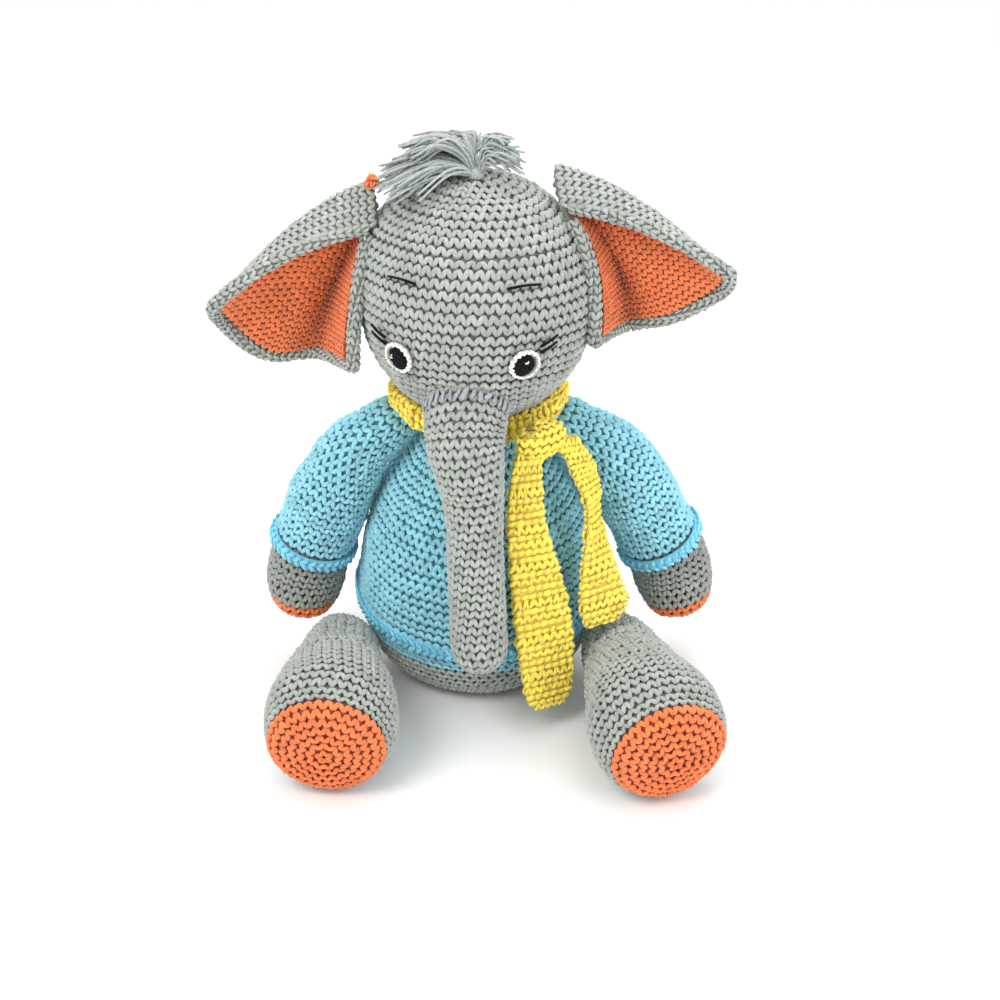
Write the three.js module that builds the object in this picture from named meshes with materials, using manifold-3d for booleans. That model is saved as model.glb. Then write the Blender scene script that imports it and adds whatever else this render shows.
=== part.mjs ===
// Crocheted sitting elephant: stuffed bags of yarn fabric sewn together, with a sweater and a scarf.
// Millimetres. +Z up, the elephant faces -Y, +X is its own left. Origin: centre of the flat seat.
import * as THREE from "three";
import { mergeVertices } from "three/addons/utils/BufferGeometryUtils.js";
import Module from "manifold-3d";

const wasm = await Module();
wasm.setup();

// Driving dimensions
const wall = 2.6; // thickness of one layer of crochet
const gap = 0.3; // clearance between pieces that touch
const around = 14; // points round each bag
const lean = THREE.MathUtils.degToRad(8); // how far the body bows forward
const bowLength = 44; // length of spine over which it bows
const hemAt = 42; // spine length at the sweater's rolled hem
const bellyRadius = 56;
const neckAt = 143; // spine length at the top of the neck
const headCentre = new THREE.Vector3(0, -30, 201);
const headRadius = 52.2;
const headHalfHeight = 55.3;
const headTurn = THREE.MathUtils.degToRad(-8); // the face looks a little to its own right
const headTilt = THREE.MathUtils.degToRad(-5); // and a little up
const neckHole = 17;
const trunkRoot = 18.5;
const trunkTip = 12.6;
const footRadius = 30.3;
const soleRadius = 27;
const hipRadius = 18;
const handRadius = 18.5;
const cuffRadius = 20.8;
const shoulderRadius = 12.5;
const eyeRadius = 7.2;
const scarfThickness = 4;

// Colours and finishes of the yarns
const finish = (color) => new THREE.MeshStandardMaterial({ color, roughness: 0.95, metalness: 0 });
const greyYarn = finish(0xa6a9a4);
const orangeYarn = finish(0xe37a4c);
const blueYarn = finish(0x74c3dd);
const yellowYarn = finish(0xf3d860);
const blackYarn = finish(0x17171b);
const whiteYarn = finish(0xf0eee6);
const hairYarn = finish(0x9aa0a2);
const fibrefill = finish(0xf4f2ec);

const elephant = new THREE.Group();

function add(name, geometry, material, group = elephant) {
  const mesh = new THREE.Mesh(geometry, material);
  mesh.name = name;
  group.add(mesh);
  return mesh;
}

// One closed surface from rings of equal length:
// a loop joins the last ring to the first, or fans close both ends
function skin(rings, loop = false) {
  const count = rings[0].length;
  const points = rings.flat();
  const faces = [];
  const rows = loop ? rings.length : rings.length - 1;
  for (let i = 0; i < rows; i++) {
    const below = i * count;
    const above = ((i + 1) % rings.length) * count;
    for (let j = 0; j < count; j++) {
      const next = (j + 1) % count;
      faces.push(below + j, below + next, above + next, below + j, above + next, above + j);
    }
  }
  if (!loop) {
    const ends = [[0, 1], [rings.length - 1, -1]];
    for (const [row, side] of ends) {
      const middle = new THREE.Vector3();
      rings[row].forEach((p) => middle.addScaledVector(p, 1 / count));
      points.push(middle);
      for (let j = 0; j < count; j++) {
        const a = row * count + j;
        const b = row * count + ((j + 1) % count);
        faces.push(points.length - 1, side > 0 ? b : a, side > 0 ? a : b);
      }
    }
  }
  const geometry = new THREE.BufferGeometry().setFromPoints(points);
  geometry.setIndex(faces);
  geometry.computeVertexNormals();
  return geometry;
}

// A ring of points about a centre, in the plane of two unit vectors
function ring(centre, right, forward, radius, count = around) {
  const points = [];
  for (let j = 0; j < count; j++) {
    const angle = (2 * Math.PI * j) / count;
    const p = centre.clone();
    p.addScaledVector(right, radius * Math.cos(angle));
    p.addScaledVector(forward, radius * Math.sin(angle));
    points.push(p);
  }
  return points;
}

// A smooth profile of [radius, height] through a few points
function smooth(points, count) {
  const curve = new THREE.SplineCurve(points.map(([r, h]) => new THREE.Vector2(r, h)));
  return curve.getPoints(count).map((p) => [Math.max(p.x, 0), p.y]);
}

// The profile moved inwards by a distance, square to itself
function inset(profile, distance) {
  return profile.map(([r, h], i) => {
    const [r0, h0] = profile[Math.max(i - 1, 0)];
    const [r1, h1] = profile[Math.min(i + 1, profile.length - 1)];
    const length = Math.hypot(r1 - r0, h1 - h0);
    return [Math.max(r - ((h1 - h0) / length) * distance, 0), h + ((r1 - r0) / length) * distance];
  });
}

// The lining of a bag whose profile starts on its axis and ends at an open rim
function closedInset(profile, distance) {
  const [rim, top] = profile[profile.length - 1];
  const lining = inset(profile, distance).slice(1, -1).filter(([r]) => r > distance);
  return [[0, profile[0][1] + distance], ...lining, [rim - distance, top]];
}

// Spine of the body: an arc that leans forward over bowLength, then straight on
function spine(s) {
  const bend = lean / bowLength;
  const angle = Math.min(s, bowLength) * bend;
  const rest = Math.max(s - bowLength, 0);
  const centre = new THREE.Vector3(0, -(1 - Math.cos(angle)) / bend, Math.sin(angle) / bend);
  centre.y -= rest * Math.sin(angle);
  centre.z += rest * Math.cos(angle);
  return { centre, forward: new THREE.Vector3(0, Math.cos(angle), Math.sin(angle)) };
}

function bodyRing([radius, s]) {
  const { centre, forward } = spine(s);
  return ring(centre, new THREE.Vector3(1, 0, 0), forward, radius);
}

// A lathe about +Z from a closed or pole-to-pole profile that runs upwards on its outer side
function turned(profile, count = around) {
  const points = profile.map(([r, h]) => new THREE.Vector2(r, h));
  return new THREE.LatheGeometry(points, count).rotateX(Math.PI / 2);
}

// The pear-shaped body, from the flat seat up to the neck
const baseOutline = [[33, 0], [42.5, 3.5], [50, 12], [54.3, 23], [bellyRadius, hemAt - 9]];
const sweaterFrom = hemAt - 9 + gap; // spine length at the sweater's lower edge, under its rolled hem
const bellyPoints = [
  [bellyRadius, sweaterFrom], [bellyRadius - 0.5, 50], [51, 76], [43.5, 98],
  [36, 114], [27, 128], [19.6, 138], [18.3, neckAt],
];
const bellyOutline = smooth(bellyPoints, 9);

function buildBody() {
  const baseLining = [[31, wall], [40.5, 6], [47.4, 13.5], [51.6, 24], [bellyRadius - wall, hemAt - 9]];
  add("body_base", skin([...baseOutline, ...baseLining.reverse()].map(bodyRing)), greyYarn);
  const lining = inset(bellyOutline, wall).map(([r, s], i) => [r, bellyOutline[i][1]]);
  add("sweater_body", skin([...bellyOutline, ...lining.reverse()].map(bodyRing), true), blueYarn);
  const core = [
    [30, wall + gap], [39.9, 6.4], [46.9, 13.8], [51.1, 24.2], [bellyRadius - wall - gap, hemAt - 9],
  ];
  const upper = inset(bellyOutline, wall + gap + 0.2).map(([r], i) => [r, bellyOutline[i][1] + 0.1]);
  add("body_stuffing", skin([...core, ...upper.slice(1)].map(bodyRing)), fibrefill);
  const roll = 4.4;
  const hem = [0, 1, 2, 3, 4, 5].map((k) => {
    const angle = (k / 6) * 2 * Math.PI;
    const radius = bellyRadius + gap + 0.5 + (roll / 2) * (1 - Math.cos(angle));
    return [radius, hemAt - (roll * 0.8) * Math.sin(angle)];
  });
  add("sweater_hem", skin(hem.map(bodyRing), true), blueYarn);
}

// The head is a bag worked in rounds from the crown down to the neck hole
const head = new THREE.Group();
head.position.copy(headCentre);
head.rotation.set(headTilt, 0, headTurn, "ZXY");
elephant.add(head);
head.updateMatrixWorld(true);

// Half outline of an egg, from the neck hole or the bottom pole to the crown
function eggOutline(radius, halfHeight, hole, count) {
  const start = -Math.acos(Math.min(hole / radius, 1));
  const points = [];
  for (let i = 0; i <= count; i++) {
    const angle = start + (Math.PI / 2 - start) * (i / count);
    points.push([Math.max(radius * Math.cos(angle), 0), halfHeight * Math.sin(angle)]);
  }
  return points;
}

// A closed geometry as a solid for cutting
function solid(geometry) {
  const bare = geometry.clone();
  bare.deleteAttribute("normal");
  bare.deleteAttribute("uv");
  const merged = mergeVertices(bare, 1e-3);
  const triVerts = new Uint32Array(merged.index.array);
  const vertProperties = merged.attributes.position.array;
  return new wasm.Manifold(new wasm.Mesh({ numProp: 3, vertProperties, triVerts }));
}

// What is left of a geometry outside a tool, the largest piece of it
function cutAway(geometry, tool) {
  const pieces = solid(geometry).subtract(tool).decompose();
  const left = pieces.reduce((a, b) => (b.volume() > a.volume() ? b : a)).getMesh();
  const cut = new THREE.BufferGeometry();
  cut.setAttribute("position", new THREE.BufferAttribute(left.vertProperties, left.numProp));
  cut.setIndex(new THREE.BufferAttribute(left.triVerts, 1));
  cut.computeVertexNormals();
  return cut;
}

// The room that the head takes, in the elephant's frame: what is sewn to the head stops at it
function headRoom() {
  const egg = turned(eggOutline(headRadius + 2 * gap, headHalfHeight + 2 * gap, 0, 14), 24);
  return solid(egg.applyMatrix4(head.matrixWorld));
}

function buildHead() {
  const outer = eggOutline(headRadius, headHalfHeight, neckHole, 11);
  const inner = eggOutline(headRadius - wall, headHalfHeight - wall, neckHole, 9);
  add("head_shell", turned([...inner.reverse(), ...outer], 24), greyYarn, head);
  const fill = eggOutline(headRadius - wall - 1.6, headHalfHeight - wall - 1.6, neckHole - 1.5, 7);
  add("head_stuffing", turned([[0, fill[0][1]], ...fill], 18), fibrefill, head);
}

// A point on the head or above it, in the head's frame, by degrees left of the nose and degrees of latitude
function onHead(longitude, latitude, above = 0) {
  const a = THREE.MathUtils.degToRad(longitude);
  const b = THREE.MathUtils.degToRad(latitude);
  const r = (headRadius + above) * Math.cos(b);
  return new THREE.Vector3(r * Math.sin(a), -r * Math.cos(a), (headHalfHeight + above) * Math.sin(b));
}

// A tube of round section along points, closed at both ends, thinning to its end where asked
function strand(points, radius, count = 6, steps = 8, endShare = 1) {
  const curve = new THREE.CatmullRomCurve3(points);
  const frames = curve.computeFrenetFrames(steps);
  const rings = [];
  for (let i = 0; i <= steps; i++) {
    const r = radius * (1 - (1 - endShare) * (i / steps));
    rings.push(ring(curve.getPointAt(i / steps), frames.normals[i], frames.binormals[i], r, count));
  }
  return skin(rings);
}

// A disc that lies on the head, in a frame of its own with +Z outwards
function onHeadFrame(longitude, latitude, above) {
  const frame = new THREE.Group();
  frame.position.copy(onHead(longitude, latitude, above));
  const out = onHead(longitude, latitude, 10).sub(onHead(longitude, latitude)).normalize();
  frame.quaternion.setFromUnitVectors(new THREE.Vector3(0, 0, 1), out);
  head.add(frame);
  return frame;
}

const eyeLongitude = 31;
const eyeLatitude = -15;

function buildEye(name, side) {
  const longitude = side * eyeLongitude;
  const frame = onHeadFrame(longitude, eyeLatitude, 1);
  const pupilRadius = 4.9;
  const inside = pupilRadius + gap;
  const rim = [[inside, 0], [eyeRadius, -0.2], [eyeRadius + 0.2, 1], [eyeRadius - 0.6, 2], [inside, 2]];
  add(`${name}_white`, turned([...rim, rim[0]], 16), whiteYarn, frame);
  const pupil = turned([[0, 0], [pupilRadius, 0], [pupilRadius, 1.6], [0, 2.1]], 12);
  add(`${name}_pupil`, pupil, blackYarn, frame);
  const glint = new THREE.SphereGeometry(0.8, 8, 6).translate(-1.2, 1.2, 3.2);
  add(`${name}_glint`, glint, whiteYarn, frame);
  for (const [which, rise] of [["upper", 7.5], ["lower", 4.5]]) {
    const start = onHead(longitude + side * 9, eyeLatitude + rise, 1.2);
    const end = onHead(longitude + side * 13.5, eyeLatitude + rise + 3.5, 1.5);
    const middle = start.clone().lerp(end, 0.5).multiplyScalar(1.01);
    add(`${name}_lash_${which}`, strand([start, middle, end], 0.45, 6, 3), blackYarn, head);
  }
}

function buildBrow(name, side) {
  const inner = onHead(side * 22.5, 19, 1.1);
  const middle = onHead(side * 31, 19.6, 1.3);
  const outer = onHead(side * 40, 19.5, 1.1);
  add(name, strand([inner, middle, outer], 0.55, 6, 6), blackYarn, head);
}

// The tuft: locks of cut yarn fixed at the crown by a stitched knot, each falling its own way
function buildHair() {
  const crown = headHalfHeight + 0.4;
  const knot = new THREE.SphereGeometry(2.6, 12, 8).scale(1, 1, 0.6).translate(0, 0, crown + 1.8);
  add("hair_root_knot", knot, hairYarn, head);
  const lower = [[-40, -10, 1], [-34, 16, 0], [20, -6, 10]];
  const upper = [[-28, -4, 15], [-5, 12, 13], [12, 3, 17]];
  [...lower, ...upper].forEach(([x, y, rise], i) => {
    const layer = i < lower.length ? 0 : 1;
    const flat = Math.hypot(x, y);
    const away = new THREE.Vector3(x / flat, y / flat, 0);
    const start = away.clone().multiplyScalar(5.6 - 2.4 * layer).setZ(crown + 2.4 + 4.4 * layer);
    const swell = away.clone().multiplyScalar(flat * 0.45).setZ(crown + 4 + 4 * layer + rise * 0.55);
    const end = new THREE.Vector3(x, y, crown + rise - flat * 0.1);
    add(`hair_lock_${i + 1}`, strand([start, swell, end], 1.6, 7, 6, 0.5), hairYarn, head);
  });
}

// The trunk hangs from the face and lies down the middle of the belly
const trunkPath = new THREE.CatmullRomCurve3([
  new THREE.Vector3(-4.5, -62, 168),
  new THREE.Vector3(-4.8, -77.5, 153),
  new THREE.Vector3(-2, -80, 130),
  new THREE.Vector3(-1, -80.5, 106),
  new THREE.Vector3(-0.5, -80.5, 80),
  new THREE.Vector3(0.8, -80.5, 53),
]);

function trunkRadius(t) {
  const swell = Math.max(0, 1 - t / 0.55);
  const tip = Math.max(0, (t - 0.72) / 0.28);
  return trunkTip + (trunkRoot - trunkTip) * swell * swell * (3 - 2 * swell) + 0.6 * tip;
}

// A point and direction at a length along a curve, running straight on past both its ends
function station(curve, length, s) {
  const t = Math.min(Math.max(s / length, 0), 1);
  const along = curve.getTangentAt(t);
  return { centre: curve.getPointAt(t).addScaledVector(along, s - t * length), along };
}

// The surface that a profile of [radius, length] sweeps along a curve;
// its rings begin on the reference vector's side
function carried(profile, curve, reference, count = around, loop = false) {
  const length = curve.getLength();
  const rings = profile.map(([radius, s]) => {
    const { centre, along } = station(curve, length, s);
    const right = reference.clone().addScaledVector(along, -along.dot(reference)).normalize();
    return ring(centre, right, new THREE.Vector3().crossVectors(along, right), radius, count);
  });
  return skin(rings, loop);
}

// Profiles along a limb start at its root's round end, so that it can swing in place
function roundRoot(radius, upTo, count) {
  const points = [];
  for (let i = 0; i <= count; i++) {
    const angle = -Math.PI / 2 + (upTo + Math.PI / 2) * (i / count);
    points.push([Math.max(radius * Math.cos(angle), 0), radius * Math.sin(angle)]);
  }
  return points;
}

const rightwards = new THREE.Vector3(1, 0, 0);
const backwards = new THREE.Vector3(0, 1, 0);

function buildTrunk() {
  const length = trunkPath.getLength();
  const walls = [0, 0.1, 0.2, 0.3, 0.4, 0.5, 0.62, 0.74, 0.87, 1].map((t) => [trunkRadius(t), t * length]);
  const tip = trunkRadius(1);
  const cap = [0.42, 0.85, 1.25].map((angle) => [tip * Math.cos(angle), length + tip * Math.sin(angle)]);
  const outer = [...walls, ...cap, [0, length + tip]];
  const lined = (distance) => [...inset(outer, distance).slice(0, -1), [0, length + tip - distance]];
  const room = headRoom();
  const shell = carried([...lined(wall).reverse(), ...outer], trunkPath, rightwards, 20);
  const fill = carried(lined(wall + 0.5), trunkPath, rightwards, 16);
  add("trunk_shell", cutAway(shell, room), greyYarn);
  add("trunk_stuffing", cutAway(fill, room), fibrefill);
}

// A sheet from a grid of points, with its two faces at two distances along its normals
function slab(grid, low, high, firstRow = 0) {
  const rows = grid.length;
  const columns = grid[0].length;
  const normalAt = (i, j) => {
    const down = grid[Math.min(i + 1, rows - 1)][j].clone().sub(grid[Math.max(i - 1, 0)][j]);
    const across = grid[i][Math.min(j + 1, columns - 1)].clone().sub(grid[i][Math.max(j - 1, 0)]);
    return down.cross(across).normalize();
  };
  const rings = [];
  for (let i = firstRow; i < rows; i++) {
    const near = grid[i].map((p, j) => p.clone().addScaledVector(normalAt(i, j), high));
    const far = grid[i].map((p, j) => p.clone().addScaledVector(normalAt(i, j), low));
    rings.push([...near, ...far.reverse()]);
  }
  return slabSkin(rings, columns);
}

// As skin, but the two ends are flat strips instead of fans
function slabSkin(rings, columns) {
  const count = rings[0].length;
  const faces = [];
  for (let i = 0; i < rings.length - 1; i++) {
    for (let j = 0; j < count; j++) {
      const next = (j + 1) % count;
      const below = i * count;
      faces.push(below + j, below + count + next, below + next);
      faces.push(below + j, below + count + j, below + count + next);
    }
  }
  const last = (rings.length - 1) * count;
  for (let j = 0; j < columns - 1; j++) {
    const [a, b, c, d] = [j, j + 1, count - 2 - j, count - 1 - j];
    faces.push(a, b, c, a, c, d);
    faces.push(last + a, last + c, last + b, last + a, last + d, last + c);
  }
  const geometry = new THREE.BufferGeometry().setFromPoints(rings.flat());
  geometry.setIndex(faces);
  geometry.computeVertexNormals();
  return geometry;
}

// An ear is a fan of ribs from its pinched root to its rim:
// upper rim, top fold, panel, deep fold, front flap.
// Each rib is [root, middle, end], each of those [outwards, backwards, up] from the head's centre.
const rightEarRibs = [
  [[44, -5, 34], [84, -26, 34], [114, -16, 1]],
  [[44, 0, 50], [80, -6, 41], [112, -6, -10]],
  [[44, 4, 45], [66, 12, 6], [94, 4, -30]],
  [[45, 4, 36], [60, 14, 6], [70, 6, -35]],
  [[46, -5, 31], [55, -18, 16], [58, -18, -25]],
];
const leftEarRibs = [
  [[37, -5, 43], [74, -26, 46], [108, -16, 16]],
  [[33, 0, 57], [72, -6, 50], [107, -6, 5]],
  [[33, 4, 53], [60, 12, 22], [86, 4, -12]],
  [[36, 4, 45], [62, 14, 20], [63, 6, -22]],
  [[39, -5, 38], [58, -18, 24], [55, -18, -13]],
];

// Points of the ear's sheet: across the ribs on a smooth curve, down each rib on a quadratic one
function earGrid(ribs, side, rows, columns) {
  const grid = [];
  for (let i = 0; i < rows; i++) {
    const t = i / (rows - 1);
    const across = ribs.map(([root, middle, end]) => {
      const at = (k) => (1 - t) * (1 - t) * root[k] + 2 * t * (1 - t) * middle[k] + t * t * end[k];
      return new THREE.Vector3(side * at(0), at(1), at(2)).add(headCentre);
    });
    grid.push(new THREE.CatmullRomCurve3(across).getPoints(columns - 1));
  }
  return side > 0 ? grid : grid.map((row) => row.reverse());
}

function buildEar(name, side, ribs) {
  const sheet = 2.2;
  const grid = earGrid(ribs, side, 8, 11);
  const outer = slab(grid, gap / 2, sheet + gap / 2);
  const lining = slab(grid, -sheet - gap / 2, -gap / 2, 2);
  const outerRoom = solid(slab(grid, -gap / 2, sheet + gap));
  add(`${name}_outer`, cutAway(outer, headRoom()), greyYarn);
  add(`${name}_lining`, cutAway(cutAway(lining, headRoom()), outerRoom), orangeYarn);
}

// Arms hang from the shoulder seams and bow outwards round the belly: sleeve, rolled cuff, hand and palm
const shoulder = new THREE.Vector3(40, -18, 134);
const armRoutes = {
  arm_left: [[58, -16, 119], [70, -11, 99], [81, -6, 76], [90, -2, 55], [96.5, 0, 29]],
  arm_right: [[-54, -16, 121], [-66, -11, 99], [-75, -6, 76], [-82, -2, 53], [-85.5, 0, 28.5]],
};

function buildArm(name) {
  const start = shoulder.clone().setX(Math.sign(armRoutes[name][0][0]) * shoulder.x);
  const route = [start, ...armRoutes[name].map((p) => new THREE.Vector3(...p))];
  const curve = new THREE.CatmullRomCurve3(route);
  const length = curve.getLength();
  const cuffAt = length * 0.66;
  const arm = (profile, loop = false, count = around) => carried(profile, curve, backwards, count, loop);
  const sleeve = smooth([
    ...roundRoot(shoulderRadius, 0, 4), [14.6, 16], [17.2, 34], [19.2, 54], [cuffRadius - 1.3, cuffAt],
  ], 11);
  add(`${name}_sleeve`, arm([...sleeve, ...closedInset(sleeve, wall).reverse()]), blueYarn);
  const cuff = [[-3.2, gap], [-0.6, gap], [1.2, 2], [0.9, 4.2], [-1, 5], [-3.2, 4]];
  add(`${name}_cuff`, arm(cuff.map(([r, s]) => [cuffRadius + r, cuffAt + s]), true), blueYarn);
  const wristAt = cuffAt - 12;
  const palmAt = length - 6;
  const hand = [
    [14.6, wristAt], [16.6, cuffAt], [handRadius, cuffAt + 10], [handRadius, palmAt - 7], [16.8, palmAt],
  ];
  const handLining = hand.map(([r, s]) => [r - wall, s]).reverse();
  add(`${name}_hand`, arm([...hand, ...handLining], true), greyYarn);
  const palm = [[16.6, palmAt + gap], [14, palmAt + 5.5], [9.5, palmAt + 9.5], [0, palmAt + 12]];
  const palmLining = [[0, palmAt + 12 - wall], [8.2, palmAt + 7.3], [11.8, palmAt + 4], [14, palmAt + gap]];
  add(`${name}_palm`, arm([...palmLining, ...palm]), orangeYarn);
  const core = [
    [0, -shoulderRadius + wall + 1], [5.5, -6], [8.2, 0], [10.2, 16], [12, 34], [11.4, wristAt],
    [13.2, cuffAt], [15, cuffAt + 10], [15, palmAt - 7], [13.2, palmAt],
    [11, palmAt + 3.2], [0, palmAt + 8.4],
  ];
  add(`${name}_stuffing`, arm(core, false, 18), fibrefill);
}

// Legs lie forward on the floor, narrow at the hip and wide at the foot, with a domed sole
const legRoutes = {
  leg_left: [[65.5, -38.5, 24], [69.5, -69, 29.5], [75, -102, 33.5], [83, -127.5, 28.5]],
  leg_right: [[-64.5, -38.5, 24], [-64.5, -67, 30], [-63.8, -97, 33.5], [-65.8, -122.5, 28.5]],
};

function buildLeg(name) {
  const curve = new THREE.CatmullRomCurve3(legRoutes[name].map((p) => new THREE.Vector3(...p)));
  const length = curve.getLength();
  const leg = (profile, loop = false, count = around) => carried(profile, curve, rightwards, count, loop);
  const walls = smooth([
    ...roundRoot(hipRadius, 0, 4), [20.5, length * 0.25], [25, length * 0.55],
    [footRadius, length * 0.82], [soleRadius, length],
  ], 11);
  add(`${name}_skin`, leg([...walls, ...closedInset(walls, wall).reverse()]), greyYarn);
  const rimAt = length + gap;
  const sole = [
    [soleRadius, rimAt], [24, rimAt + 4.2], [16.5, rimAt + 7.4], [8, rimAt + 9], [0, rimAt + 9.4],
  ];
  const lining = [
    [0, rimAt + 6.8], [8, rimAt + 6.4], [15.6, rimAt + 4.8], [22, rimAt + 2], [soleRadius - wall, rimAt],
  ];
  add(`${name}_sole`, leg([...lining, ...sole]), orangeYarn);
  const core = closedInset(walls, wall + 0.6);
  const fill = [...core, [21.2, rimAt + 1.4], [15, rimAt + 4], [0, rimAt + 6]];
  add(`${name}_stuffing`, leg(fill, false, 14), fibrefill);
}

// The scarf: a collar wound round the neck, a knot at its front and two hanging tails
const neckAxis = new THREE.Vector3(0, -20, 0);
const knotCentre = [28, -61.5, 146.5];
const knotRadii = [13, 7.5, 9.5];
const knotTurn = 0.6; // radians that the knot's width is turned from the left towards the back

// Each tail from the knot down: [height, middle, width, depth, turn of its right edge backwards in degrees]
const longTail = [
  [137, 22, 13, -66, 15], [118, 21, 16, -66, 15], [102, 22, 18.5, -66, 18], [87, 24.5, 22, -66.5, 20],
  [72, 27, 25, -67, 22], [57.5, 29, 27, -67.5, 24], [43, 31, 25, -68, 26], [30, 32, 20, -68, 26],
  [20, 32.5, 13, -68, 26], [15, 32.5, 6, -68, 26],
];
const shortTail = [
  [137, 43, 11, -57, 25], [124, 47.5, 13, -52, 45], [113, 50.5, 12, -49, 60], [102, 51.5, 11, -48, 62],
  [90, 52.5, 13, -49, 50], [78, 54, 17, -51, 40], [66, 56, 20, -53, 36], [58, 58, 21, -54.5, 36],
  [53, 58, 18, -55.5, 36], [50.2, 56.5, 10, -56, 36],
];

function buildScarf() {
  const steps = 24;
  const rings = [];
  for (let i = 0; i < steps; i++) {
    const angle = (2 * Math.PI * i) / steps;
    const front = Math.pow(Math.max(0, -Math.sin(angle)), 1.5);
    const section = [
      [22.5, 142], [24, 147.5 - 2 * front], [38.5 - 5.5 * front, 155.5 - 5 * front],
      [39.8 - 5.5 * front, 148.5 - 8 * front], [31 - 1.5 * front, 143.4 - 4 * front],
    ];
    const ring = section.map(([r, z]) => new THREE.Vector3(r * Math.cos(angle), r * Math.sin(angle), z));
    rings.push(ring.map((point) => point.add(neckAxis)));
  }
  add("scarf_neck_wrap", skin(rings, true), yellowYarn);
  const knot = new THREE.SphereGeometry(1, 14, 10);
  knot.scale(...knotRadii).rotateZ(knotTurn).translate(...knotCentre);
  add("scarf_knot", knot, yellowYarn);
  addTail("scarf_tail_long", longTail);
  addTail("scarf_tail_short", shortTail);
}

function addTail(name, rows) {
  const rings = rows.map(([z, x, width, y, turn]) => {
    const a = THREE.MathUtils.degToRad(turn);
    const across = new THREE.Vector3(Math.cos(a), Math.sin(a), 0);
    const out = new THREE.Vector3(Math.sin(a), -Math.cos(a), 0);
    const corner = (u, v) => {
      const p = new THREE.Vector3(x, y, z).addScaledVector(across, (u * width) / 2);
      return p.addScaledVector(out, (v * scarfThickness) / 2);
    };
    return [corner(-1, 0), corner(-0.8, -1), corner(0.8, -1), corner(1, 0), corner(0.8, 1), corner(-0.8, 1)];
  });
  add(name, skin(rings), yellowYarn);
}

buildBody();
buildHead();
buildEye("eye_left", 1);
buildEye("eye_right", -1);
buildBrow("brow_left", 1);
buildBrow("brow_right", -1);
buildHair();
buildTrunk();
buildEar("ear_right", -1, rightEarRibs);
buildEar("ear_left", 1, leftEarRibs);
add("ear_root_knot", new THREE.SphereGeometry(2.5, 10, 8).translate(-44.5, -35.5, 254.8), orangeYarn);
Object.keys(armRoutes).forEach(buildArm);
Object.keys(legRoutes).forEach(buildLeg);
buildScarf();

export default elephant;
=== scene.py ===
# Crocheted sitting elephant: every stuffed piece is a padded bag with yarn stitches worked round it.
# Shapes are worked out in millimetres and become metres as each mesh is made.
import bpy
import math
import numpy as np
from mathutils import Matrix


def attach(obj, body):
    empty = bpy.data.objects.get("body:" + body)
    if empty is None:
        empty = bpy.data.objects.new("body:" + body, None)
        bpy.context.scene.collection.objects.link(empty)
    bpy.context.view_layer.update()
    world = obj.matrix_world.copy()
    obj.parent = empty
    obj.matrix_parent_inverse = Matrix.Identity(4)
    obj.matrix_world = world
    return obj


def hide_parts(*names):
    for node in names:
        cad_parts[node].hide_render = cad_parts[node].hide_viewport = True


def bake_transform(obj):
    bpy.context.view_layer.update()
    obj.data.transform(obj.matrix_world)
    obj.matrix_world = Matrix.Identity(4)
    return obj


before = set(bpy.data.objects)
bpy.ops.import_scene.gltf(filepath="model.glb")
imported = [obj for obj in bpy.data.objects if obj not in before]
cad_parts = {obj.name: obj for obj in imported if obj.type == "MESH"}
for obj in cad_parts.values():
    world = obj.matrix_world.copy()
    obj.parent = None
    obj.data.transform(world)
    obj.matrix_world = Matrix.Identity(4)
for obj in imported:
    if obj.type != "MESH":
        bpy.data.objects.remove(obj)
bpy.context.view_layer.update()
scene = bpy.context.scene
random = np.random.default_rng(11)
mm = 0.001
turn = 2 * math.pi


camera = {"place": (0.0098, -0.9365, 0.5817), "tilt": 62, "lens": 80.8}


def makeCamera():
    data = bpy.data.cameras.new("camera")
    data.lens = camera["lens"]
    data.sensor_width = 36
    eye = bpy.data.objects.new("camera", data)
    eye.location = camera["place"]
    eye.rotation_euler = (math.radians(camera["tilt"]), 0, 0)
    scene.collection.objects.link(eye)
    scene.camera = eye


def makeLight(name, place, size, power, colour):
    data = bpy.data.lights.new(name, "AREA")
    data.size = size
    data.energy = power
    data.color = colour
    lamp = bpy.data.objects.new(name, data)
    lamp.location = place
    # A lamp looks down its own -Z, so it is turned to face the middle of the toy
    away = np.array(place) - np.array((0, -0.03, 0.12))
    lamp.rotation_euler = (math.atan2(math.hypot(away[0], away[1]), away[2]), 0,
                           math.atan2(away[1], away[0]) + math.pi / 2)
    scene.collection.objects.link(lamp)


def setInputs(shader, values):
    for key, value in values.items():
        shader.inputs[key].default_value = value


def makeStudio():
    scene.view_settings.view_transform = "Standard"
    world = bpy.data.worlds.new("studio")
    world.use_nodes = True
    setInputs(world.node_tree.nodes["Background"], {"Color": (0.97, 0.985, 1.0, 1), "Strength": 0.92})
    scene.world = world
    makeLight("key", (-0.55, -0.75, 1.05), 0.55, 8.0, (1.0, 0.98, 0.95))
    makeLight("fill", (0.8, -0.7, 0.6), 0.9, 4.4, (0.95, 0.98, 1.0))
    makeLight("top", (0.1, 0.25, 1.1), 0.8, 5.0, (1.0, 1.0, 1.0))
    mesh = bpy.data.meshes.new("floor")
    mesh.from_pydata([(-3, -3, 0), (3, -3, 0), (3, 3, 0), (-3, 3, 0)], [], [(0, 1, 2, 3)])
    floor = bpy.data.objects.new("floor", mesh)
    scene.collection.objects.link(floor)
    paint = bpy.data.materials.new("floor")
    paint.use_nodes = True
    floorFinish = {"Base Color": (0.93, 0.93, 0.93, 1), "Roughness": 0.85}
    setInputs(paint.node_tree.nodes["Principled BSDF"], floorFinish)
    mesh.materials.append(paint)


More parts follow.
